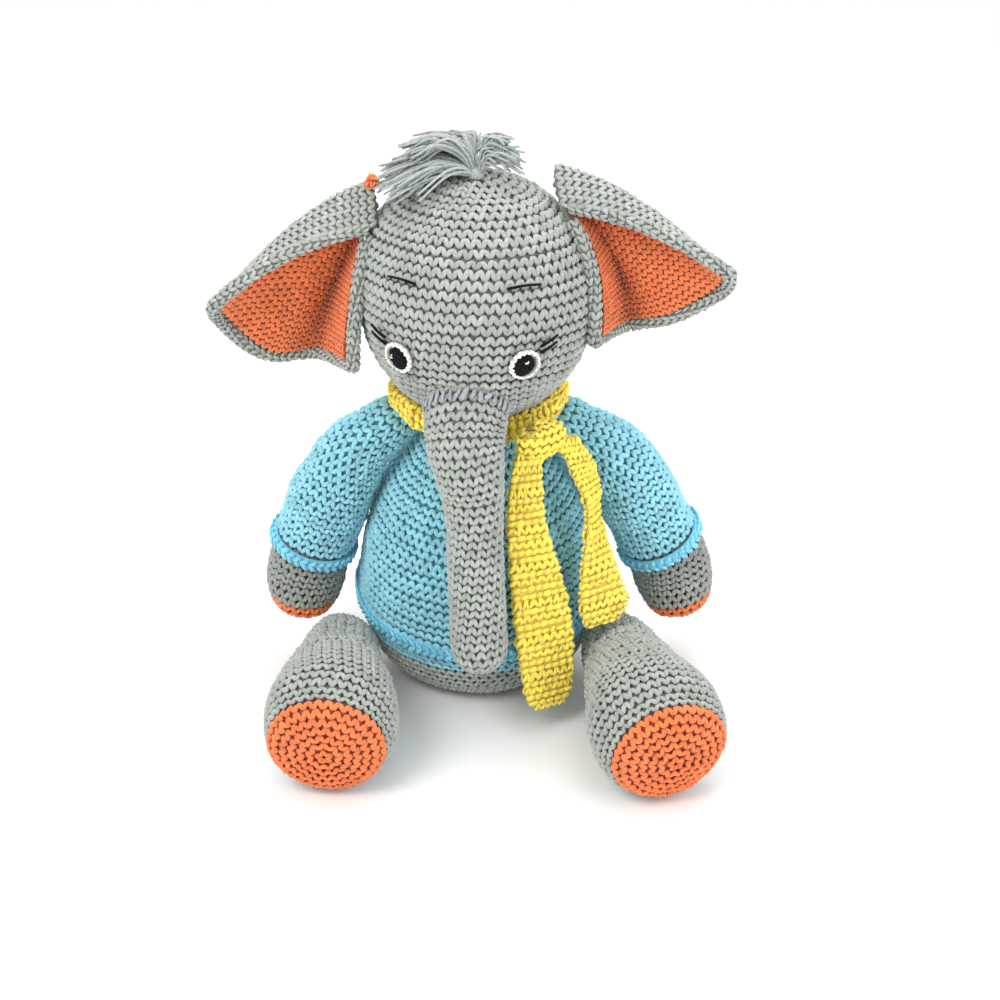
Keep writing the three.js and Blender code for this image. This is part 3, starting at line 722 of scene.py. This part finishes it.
def threadObject(name, paths, radius, material, endShare=0.8, sides=6, steps=10, tones=None):
    # Threads of round section: rings square to each path, closed by a vertex at each end.
    points, corners, sizes, ply, tone = [], [], [], [], []
    ringCorners, ringSizes = closedFaces(steps, sides)
    a = np.linspace(0, turn, sides, endpoint=False)[None, :, None]
    offset = 0
    for index, path in enumerate(paths):
        line = evenly(curveThrough(path, 120), steps)
        along = unit(np.gradient(line, axis=0))
        upright = abs(along[:, 2]).mean() >= 0.8
        reference = np.array([0.95, 0.2, 0.1]) if upright else np.array([0.31, 0.22, 0.93])
        right = unit(np.cross(along, reference))
        other = np.cross(along, right)
        size = radius * np.linspace(1, endShare, steps)[:, None, None]
        grid = line[:, None] + size * (np.cos(a) * right[:, None] + np.sin(a) * other[:, None])
        first = line[:1] - along[:1] * radius * 0.6
        last = line[-1:] + along[-1:] * radius * endShare * 0.6
        points += [grid.reshape(-1, 3), first, last]
        corners.append(ringCorners + offset)
        sizes.append(ringSizes)
        u = np.concatenate([np.repeat(np.linspace(0.1, 0.9, steps), sides), [0.1, 0.9]])
        v = np.concatenate([np.tile(np.arange(sides) / sides, steps), [0.5, 0.5]])
        ply.append(np.stack([u[ringCorners], v[ringCorners]], -1))
        tone.append(np.full(steps * sides + 2, 1.0 if tones is None else tones[index]))
        offset += steps * sides + 2
    return makeObject(name, np.vstack(points), np.concatenate(corners), np.concatenate(sizes), material,
                      np.vstack(ply), np.concatenate(tone))


def makeBrow(name, side):
    inner = onHead(side * 22.5, 19, 1.0)
    middle = onHead(side * 31, 19.8, 2.1)
    outer = onHead(side * 40, 19.3, 1.2)
    path = np.stack([inner, middle, outer])
    brow = threadObject(name + "_thread", [headToWorld(path)], 0.7, yarns["black"], 0.75)
    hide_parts(name)
    fitted("head", "black_yarn", brow)


# Each lock of the tuft is [x, y, rise] of its tip from the crown, with its number of strands
hair = {
    "crown": 55.7, "radius": 0.66, "forward": np.array([0, -7, -0.8]),
    "locks": [[-39, -9, 2], [-36, 12, 5], [19, -2, 10], [-30, 2, 15], [-8, 9, 15], [14, 3, 16]],
    "strands": [84, 64, 34, 90, 60, 44],
}


def makeHair():
    for i, (x, y, rise) in enumerate(hair["locks"]):
        n = hair["strands"][i]
        high = 0 if i < 3 else 1
        flat = math.hypot(x, y)
        away = np.array([x / flat, y / flat])
        paths = []
        for k in range(n):
            fan = random.normal(0, 0.3)
            reach = flat * random.uniform(0.74, 1.08)
            c, s = math.cos(fan), math.sin(fan)
            toward = np.array([away[0] * c - away[1] * s, away[0] * s + away[1] * c])
            lift = random.uniform(-1.5, 4.5)
            wave = random.normal(0, 1.5, 3)
            start = [*(toward * random.uniform(0.4, 2.4)), hair["crown"] + 0.5 + 1.5 * high]
            quarterUp = hair["crown"] + 2.2 + 2.0 * high + lift * 0.5 + rise * 0.3
            middleUp = hair["crown"] + 1.2 + 1.2 * high + lift + rise * 0.7
            endUp = hair["crown"] + rise * 0.9 + lift - flat * 0.18 + random.normal(0, 1.2)
            quarter = [*(toward * reach * 0.22 + wave[0] * 0.4), quarterUp]
            middle = [*(toward * reach * 0.55 + wave[1]), middleUp]
            end = [*(toward * reach + wave[2]), endUp]
            paths.append(headToWorld(np.array([start, quarter, middle, end]) + hair["forward"]))
        tones = random.uniform(0.82, 1.12, n)
        lock = threadObject(f"hair_strands_{i + 1}", paths, hair["radius"], yarns["hair"], 0.75,
                            sides=5, steps=12, tones=tones)
        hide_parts(f"hair_lock_{i + 1}")
        fitted("head", "hair_yarn", lock)
    # The stitches that hold the tuft: a few short loops over its root
    loops = []
    for k in range(7):
        a = k / 7 * turn + 0.3
        side = np.array([math.cos(a), math.sin(a), 0])
        loops.append(headToWorld(hair["forward"] + np.array([
            side * 3.0 + [0, 0, hair["crown"] - 0.4], side * 1.6 + [0, 0, hair["crown"] + 2.8],
            -side * 1.4 + [0, 0, hair["crown"] + 2.8], -side * 3.0 + [0, 0, hair["crown"] - 0.4]])))
    root = threadObject("hair_root_stitches", loops, 0.75, yarns["hair"], 1.0)
    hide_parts("hair_root_knot")
    fitted("head", "hair_yarn", root)


trunk = {
    "route": [(-4.5, -62, 168), (-4.8, -77.5, 153), (-2, -80, 130), (-1, -80.5, 106), (-0.5, -80.5, 80),
              (0.8, -80.5, 53)],
    "root": 18.5, "tip": 12.6, "swell": 0.55, "bulge": 0.6,
}


def makeTrunk():
    curve = route(trunk["route"])
    t = np.linspace(0, 1, 110)
    swell = np.maximum(0, 1 - t / trunk["swell"])
    radius = trunk["tip"] + (trunk["root"] - trunk["tip"]) * swell**2 * (3 - 2 * swell)
    radius = radius + trunk["bulge"] * np.maximum(0, (t - 0.72) / 0.28)
    walls = np.stack([radius, t * curve["length"]], -1)
    a = np.linspace(0.05, math.pi / 2 - 0.004, 24)
    end = radius[-1]
    cap = np.stack([end * np.cos(a), curve["length"] + end * np.sin(a)], -1)
    profile = evenly(np.vstack([walls, cap]), 130)
    grid = swept(profile, curve, (1, 0, 0))
    crocheted("trunk", grid, "grey", "trunk", ["trunk_shell", "trunk_stuffing"], row=4.3, across=4.3,
              puff=False, bend=("head", "trunk", (-0.0046, -0.066, 0.176), (-0.0046, -0.079, 0.150)))
    # Sewing yarn, paler than the fabric, whips the trunk's root to the face
    seam = swept(np.array([[18.9, 6.0], [18.7, 8.5], [18.4, 11.0]]), curve, (1, 0, 0))
    spots = places(seam, 4.2, 3.4, depth=2.2)
    front = spots[0][:, 1] < -72
    spots = [part[front] for part in spots]
    row = stitchObject("trunk_seam", spots, yarns["seam"], rightLeg, jitter=0.2)
    fitted("head", "white_yarn", row)


# Ribs from the pinched root to the rim, each [root, middle, end],
# given as [outwards, backwards, up] from the head's centre
rightEarRibs = [
    [[44, -5, 34], [84, -26, 34], [114, -16, 1]],
    [[44, 0, 50], [80, -6, 41], [112, -6, -10]],
    [[44, 4, 45], [66, 12, 6], [94, 4, -30]],
    [[45, 4, 36], [64, 20, 6], [73, 13, -33]],
    [[46, -5, 31], [52, -19, 16], [54, -20, -25]],
]
leftEarRibs = [
    [[37, -5, 43], [74, -26, 46], [108, -16, 16]],
    [[33, 0, 57], [72, -6, 50], [107, -6, 5]],
    [[33, 4, 53], [60, 12, 22], [86, 4, -12]],
    [[36, 4, 45], [64, 20, 20], [66, 13, -20]],
    [[39, -7, 38], [53, -20, 24], [50, -21, -13]],
]
ear = {"thick": 1.9, "rows": 64, "columns": 72, "edge": 2.1}


def earGrid(ribs, side):
    # Down each rib (1-t)^2 root + 2t(1-t) middle + t^2 end, and across the ribs a Catmull-Rom curve
    p = np.array(ribs, float) * np.array([side, 1, 1]) + head["centre"]
    rows = []
    for t in np.linspace(0, 1, ear["rows"]):
        across = (1 - t) ** 2 * p[:, 0] + 2 * t * (1 - t) * p[:, 1] + t * t * p[:, 2]
        rows.append(curveThrough(across, ear["columns"]))
    grid = np.stack(rows)
    return grid if side > 0 else grid[:, ::-1]


def slabObject(name, near, far, material):
    # A closed sheet between two open grids: each row runs out along one face and back along the other.
    rings = np.concatenate([near, far[:, ::-1]], axis=1)
    rows, columns = rings.shape[:2]
    corners, sizes = closedFaces(rows, columns, ends=False)
    corners = corners.reshape(-1, 4)[:, ::-1].reshape(-1)
    half = columns // 2
    j = np.arange(half - 1)
    last = (rows - 1) * columns
    first = np.stack([j, j + 1, columns - 2 - j, columns - 1 - j], -1)
    end = last + np.stack([columns - 1 - j, columns - 2 - j, j + 1, j], -1)
    corners = np.concatenate([corners, first.reshape(-1), end.reshape(-1)])
    sizes = np.concatenate([sizes, np.full(2 * (half - 1), 4)])
    return makeObject(name, rings.reshape(-1, 3), corners, sizes, material)


def makeEar(name, side, ribs):
    grid = earGrid(ribs, side)
    down = np.gradient(grid, axis=0)
    across = np.gradient(grid, axis=1)
    back = unit(np.cross(down, across))
    thick = ear["thick"]
    # The grey outer sheet lies behind the grid, and the orange lining before it stops short of the edge; both
    # sheets take the darker painted-shade colours that stand for the shadow between their stitches
    outerBack = (grid + back * thick)[::2, ::2]
    outerFront = (grid + back * 0.15)[::2, ::2]
    outer = slabObject(name + "_outer_sheet", outerBack, outerFront, shadedUnderlay["grey"])
    rows, columns = grid.shape[:2]
    inset = grid[4:rows - 2, 2:columns - 2]
    insetBack = back[4:rows - 2, 2:columns - 2]
    liningBack = (inset - insetBack * 0.15)[::2, ::2]
    liningFront = (inset - insetBack * thick)[::2, ::2]
    lining = slabObject(name + "_lining_sheet", liningBack, liningFront, shadedUnderlay["orange"])
    outerSpots = places((grid + back * (thick + 0.3))[:, ::-1], 3.8, 3.8, loop=False, depth=2.8)
    outerStitches = stitchObject(name + "_outer_stitches", outerSpots, yarns["grey"])
    liningSpots = places(inset - insetBack * (thick + 0.3), 3.5, 3.6, loop=False, depth=2.6)
    # Painted shade darkens the lining towards the deep fold: 1 - 0.4 exp(-(distance / 8)^2)
    fold = grid[:, int(columns * (0.72 if side > 0 else 0.28))]
    distance = np.linalg.norm(liningSpots[0][:, None] - fold[None], axis=2).min(axis=1)
    shade = 1 - 0.4 * np.exp(-((distance / 8) ** 2))
    liningStitches = stitchObject(name + "_lining_stitches", liningSpots, yarns["orange"], shadeTone=shade)
    # Both layers are joined by an edging that runs down one side, round the rim and back up
    border = np.vstack([grid[2:, 0], grid[-1, 1:-1], grid[2:, -1][::-1]])
    edge = route(evenly(border, 60))
    section = np.stack([np.full(240, ear["edge"]), np.linspace(0, edge["length"], 240)], -1)
    tube = swept(section, edge, (0.2, 0.9, 0.3), 40)
    edgeSkin = bagObject(name + "_edging", tube[::2, ::4], shadedUnderlay["grey"])
    edgeSpots = places(tube, 3.8, 3.8, least=4, depth=2.8)
    edgeStitches = stitchObject(name + "_edging_stitches", edgeSpots, yarns["grey"])
    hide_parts(name + "_outer")
    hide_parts(name + "_lining")
    fitted(name, "grey_yarn", outer, outerStitches, edgeSkin, edgeStitches)
    fitted(name, "orange_yarn", lining, liningStitches)
    print(name, len(outerSpots[0]) + len(liningSpots[0]) + len(edgeSpots[0]), "stitches")


def ball(centre, radii, rows=40, around=60):
    # An ellipsoid as rings from its lowest to its highest point
    b = np.linspace(-math.pi / 2 + 0.02, math.pi / 2 - 0.02, rows)[:, None]
    a = np.linspace(0, turn, around, endpoint=False)[None]
    x = radii[0] * np.cos(b) * np.cos(a)
    y = radii[1] * np.cos(b) * np.sin(a)
    z = radii[2] * np.sin(b)
    return np.stack(np.broadcast_arrays(x, y, z), -1) + np.array(centre, float)


def makeEarKnot():
    grid = ball((-44.5, -35.5, 254.8), (2.5, 2.5, 2.3))
    knot = bagObject("ear_root_ball", grid[::3, ::4], shadedUnderlay["orange"])
    spots = places(grid, 2.6, 2.6, least=3, depth=2.2)
    stitches = stitchObject("ear_root_stitches", spots, yarns["orange"], jitter=0.25)
    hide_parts("ear_root_knot")
    fitted("ear_right", "orange_yarn", knot, stitches)


armRoutes = {
    "arm_left": [(40, -18, 134), (58, -16, 119), (70, -11, 99), (81, -6, 76), (90, -2, 55), (96.5, 0, 29)],
    "arm_right": [(-40, -18, 134), (-54, -16, 121), (-66, -11, 99), (-75, -6, 76), (-82, -2, 53),
                  (-85.5, 0, 28.5)],
}
arm = {"shoulder": 12.5, "cuffShare": 0.66, "cuff": 20.8, "hand": 18.5}


def roundRoot(radius):
    # The root is half a ball, so that the limb can swing in place
    a = np.linspace(-math.pi / 2 + 0.03, 0, 7)
    return np.stack([radius * np.cos(a), radius * np.sin(a)], -1).tolist()


def makeArm(name):
    curve = route(armRoutes[name])
    cuffAt = curve["length"] * arm["cuffShare"]
    palmAt = curve["length"] - 6
    sleeve = roundRoot(arm["shoulder"]) + [[14.6, 16], [18.2, 34], [19.8, 54], [arm["cuff"] - 2, cuffAt]]
    back = (0, 1, 0)
    crocheted(name + "_sleeve", swept(evenly(curveThrough(sleeve), 100), curve, back), "blue", name,
              [name + "_sleeve", name + "_stuffing"], row=4.5, across=4.4)
    a = np.linspace(-math.pi, math.pi, 41)
    cuff = np.stack([arm["cuff"] - 2.1 + 2.3 * np.cos(a), cuffAt + 2.7 + 2.5 * np.sin(a)], -1)
    front = np.linspace(-1.1, 1.1, 9)
    face = np.stack([arm["cuff"] - 2.8 + 2.3 * np.cos(front), cuffAt + 2.7 + 2.5 * np.sin(front)], -1)
    roll = swept(cuff, curve, back)
    rolledEdge(name + "_cuff", roll, swept(face, curve, back), "cuff", name, [name + "_cuff"], 6.6)
    hand = [[15.6, cuffAt - 4], [17.2, cuffAt + 3], [18.5, cuffAt + 10], [18.5, palmAt - 7], [16.8, palmAt]]
    handGrid = swept(evenly(curveThrough(hand), 60), curve, back)
    crocheted(name + "_hand", handGrid, "hand", name, [name + "_hand"], puff=False)
    palm = [
        [16.8, palmAt + 0.2], [14.4, palmAt + 5.5], [9.5, palmAt + 9.5],
        [4, palmAt + 11.4], [0.3, palmAt + 12],
    ]
    palmGrid = swept(evenly(curveThrough(palm), 40), curve, back)
    crocheted(name + "_palm", palmGrid, "orange", name, [name + "_palm"], row=4.0, puff=False)


legRoutes = {
    "leg_left": [(65.5, -38.5, 24), (69.5, -69, 29.5), (75, -102, 33.5), (83, -127.5, 28.5)],
    "leg_right": [(-64.5, -38.5, 24), (-64.5, -67, 30), (-63.8, -97, 33.5), (-65.8, -122.5, 28.5)],
}
leg = {"hip": 18, "foot": 30.3, "sole": 27}


def makeLeg(name):
    curve = route(legRoutes[name])
    length = curve["length"]
    walls = roundRoot(leg["hip"]) + [[20.5, length * 0.25], [25, length * 0.55], [leg["foot"], length * 0.82],
                                     [leg["sole"] + 1.5, length * 0.96], [leg["sole"], length]]
    right = (1, 0, 0)
    crocheted(name + "_bag", swept(evenly(curveThrough(walls), 110), curve, right), "grey", name,
              [name + "_skin", name + "_stuffing"])
    rim = length + 0.3
    dome = [[leg["sole"], rim], [24, rim + 4.2], [16.5, rim + 7.4], [8, rim + 9], [0.3, rim + 9.4]]
    sole = swept(evenly(curveThrough(dome), 60), curve, right)
    crocheted(name + "_sole", sole, "orange", name, [name + "_sole"], row=3.9, across=4.3, puff=False)


scarf = {"axis": (0, -20), "thick": 3.6, "row": 3.7}
collarSection = [[22.5, 142], [24, 147.5], [38.5, 155.5], [39.8, 148.5], [31, 143.4]]
collarDrop = [[0, 0], [0, -2], [-5.5, -5], [-5.5, -8], [-1.5, -4]]
longTail = [
    [137, 22, 13, -66, 15], [118, 21, 16, -66, 15], [102, 22, 18.5, -66, 18], [87, 24.5, 22, -66.5, 20],
    [72, 27, 25.5, -67, 22], [57.5, 29, 27.5, -67.5, 24], [43, 30.5, 27, -68, 26], [30, 31.5, 25.5, -68, 26],
    [20, 32, 22.5, -68, 26], [15.8, 32.2, 18, -68, 26], [13.8, 32.2, 11, -68, 26],
]
shortTail = [
    [137, 43, 11, -57, 25], [124, 47.5, 13, -52, 45], [113, 50.5, 12, -49, 60], [102, 51.5, 11, -48, 62],
    [90, 52.5, 14, -49, 50], [78, 54, 19, -51, 40], [66, 56, 23, -53, 34], [58, 57.5, 25, -54.5, 32],
    [53, 57.5, 22, -55.5, 32], [50.2, 56.5, 16, -56, 32],
]


def scarfStitches(name, grid, loop, body):
    # Bands of fabric worked to and fro: every fifth row stands up as a ridge of V's,
    # and between ridges bumps lie each side of a flat row
    spots = places(grid, scarf["row"], 3.7, loop=loop, depth=2.9)
    ridge = spots[5].astype(int) % 5 == 0
    flat = spots[5].astype(int) % 5 == 2
    made = []
    kinds = (("ridges", ridge, vStitch), ("flats", flat, vStitch), ("bumps", ~ridge & ~flat, bump))
    for kind, chosen, template in kinds:
        some = [part[chosen] for part in spots]
        if kind == "ridges":
            some[0] = some[0] + some[3] * 0.45
            some[4] = some[4] * np.array([1.0, 1.2, 1.05])
        stitches = stitchObject(f"{name}_{kind}", some, yarns["yellow"], template, jitter=0.14)
        fitted(body, "yellow_yarn", stitches)
        made.append(stitches)
    print(name, len(spots[0]), "stitches")
    return made


def scarfPiece(name, grid, faces, body, nodes, loopRows=False):
    # A band of tall stitches worked to and fro: a thin sheet, with its rows of stitches on both faces.
    coarse = grid[:-1:2, ::2] if loopRows else grid[::2, ::2]
    band = bagObject(name + "_sheet", coarse, shadedUnderlay["yellow"], loopRows)
    relief = []
    for side, (face, loop) in faces.items():
        relief += scarfStitches(f"{name}_{side}", face, loop, body)
    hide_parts(*nodes)
    fitted(body, "yellow_yarn", band)


def tailGrids(table, columns=64):
    # A flat band: its section is a long oval, |cos|^0.55 across and |sin|^0.8 through,
    # with a flat face each side
    rows = evenly(curveThrough(table, 300), 110)
    z, x, width, y, angle = rows.T
    angle = np.radians(angle)
    across = np.stack([np.cos(angle), np.sin(angle), np.zeros_like(angle)], -1)[:, None]
    out = np.stack([np.sin(angle), -np.cos(angle), np.zeros_like(angle)], -1)[:, None]
    centre = np.stack([x, y, z], -1)[:, None]
    half = width[:, None, None] / 2
    thick = scarf["thick"] / 2
    a = np.linspace(0, turn, columns, endpoint=False)
    u = -np.sign(np.cos(a)) * np.abs(np.cos(a)) ** 0.55
    v = -np.sign(np.sin(a)) * np.abs(np.sin(a)) ** 0.8
    band = centre + across * (u[None, :, None] * (half - 0.8)) + out * (v[None, :, None] * (thick - 0.9))
    # The faces bow towards their edges, so that the end stitches close the side
    w = np.linspace(-1, 1, 31)[None, :, None]
    bow = (thick - 0.5) * (1 - 0.55 * w**4)
    frontFace = (centre + across * (w * half) + out * bow)[:, ::-1]
    backFace = centre + across * (w * half) - out * bow
    return band, {"front": (frontFace, False), "back": (backFace, False)}


def makeScarf():
    steps = 97
    angles = np.linspace(0, turn, steps)
    rows = []
    for angle in angles:
        front = max(0, -math.sin(angle)) ** 1.5
        section = closedCurve((np.array(collarSection) + np.array(collarDrop) * front).tolist(), 64)
        rows.append(np.stack([section[:, 0] * math.cos(angle) + scarf["axis"][0],
                              section[:, 0] * math.sin(angle) + scarf["axis"][1], section[:, 1]], -1))
    collar = np.stack(rows)
    inner = collar - gridNormals(collar) * 1.4
    surface = {"round": (collar - gridNormals(collar) * 0.6, True)}
    scarfPiece("scarf_collar", inner, surface, "torso", ["scarf_neck_wrap"], loopRows=True)
    angle = 0.6
    knot = ball((0, 0, 0), (13, 7.5, 9.5), 60, 80)
    c = math.cos(angle)
    s = math.sin(angle)
    turnedX = knot[..., 0] * c - knot[..., 1] * s
    turnedY = knot[..., 0] * s + knot[..., 1] * c
    knot = np.stack([turnedX, turnedY, knot[..., 2]], -1)
    knot = knot + np.array([28, -61.5, 146.5])
    # Painted shade darkens the stitches round the small opening beside the knot
    opening = np.array([23.5, -66, 153.5])

    def shade(spots):
        away = np.linalg.norm(spots[0] - opening, axis=1)
        return 1 - 0.75 * np.exp(-((away / 3.2) ** 4))

    crocheted("scarf_bow", knot, "yellow", "torso", ["scarf_knot"], puff=False, row=4.0, across=4.0,
              tone=shade)
    for name, table, width in (("scarf_end_long", [[143, 24, 13, -64, 15]] + longTail, 20),
                               ("scarf_end_short", [[145, 38, 11, -58, 20]] + shortTail, 15)):
        band, faces = tailGrids(table)
        tail = name.replace("_end_", "_tail_")
        scarfPiece(name, band, faces, tail, [tail])


makeCamera()
makeStudio()
print("studio done")
makeBody()
makeHead()
for eyeName, eyeSide in (("eye_left", 1), ("eye_right", -1)):
    makeEye(eyeName, eyeSide)
makeBrow("brow_left", 1)
makeBrow("brow_right", -1)
makeHair()
print("head done")
makeTrunk()
makeEar("ear_left", 1, leftEarRibs)
makeEar("ear_right", -1, rightEarRibs)
makeEarKnot()
for limb in armRoutes:
    makeArm(limb)
for limb in legRoutes:
    makeLeg(limb)
makeScarf()
print("scarf done")
